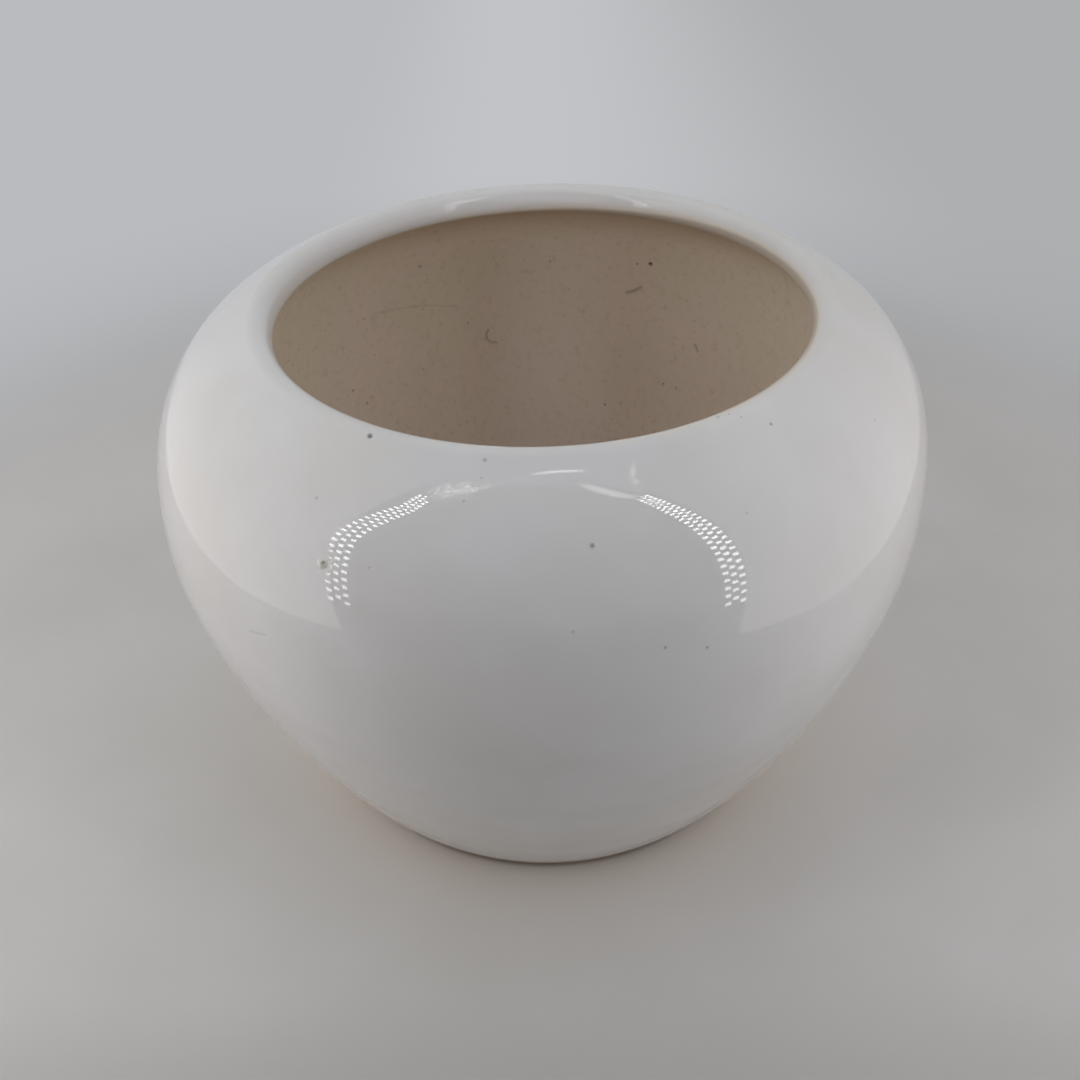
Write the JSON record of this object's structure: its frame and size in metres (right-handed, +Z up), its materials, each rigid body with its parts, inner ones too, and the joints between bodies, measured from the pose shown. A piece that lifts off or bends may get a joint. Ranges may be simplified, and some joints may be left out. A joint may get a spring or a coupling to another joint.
{
  "type": "globe planter",
  "caption": "Round-bellied ceramic plant pot with a wide mouth, a rolled lip, a foot ring and a drain hole, glazed outside and bare inside.",
  "frame": {"origin": "centre of the foot ring, on the plane that the pot stands on", "axes": "+Z up along the pot's axis of revolution; +X and +Y are free, since the pot is round"},
  "size_m": [0.18, 0.18, 0.128],
  "materials": {
    "bare_clay": "matt bisque, soil stained inside",
    "white_glaze": "glossy white glaze with pinholes and specks"
  },
  "bodies": {
    "root": {"clay_body": "bare_clay", "glaze_coat": "white_glaze"}
  },
  "joints": []
}
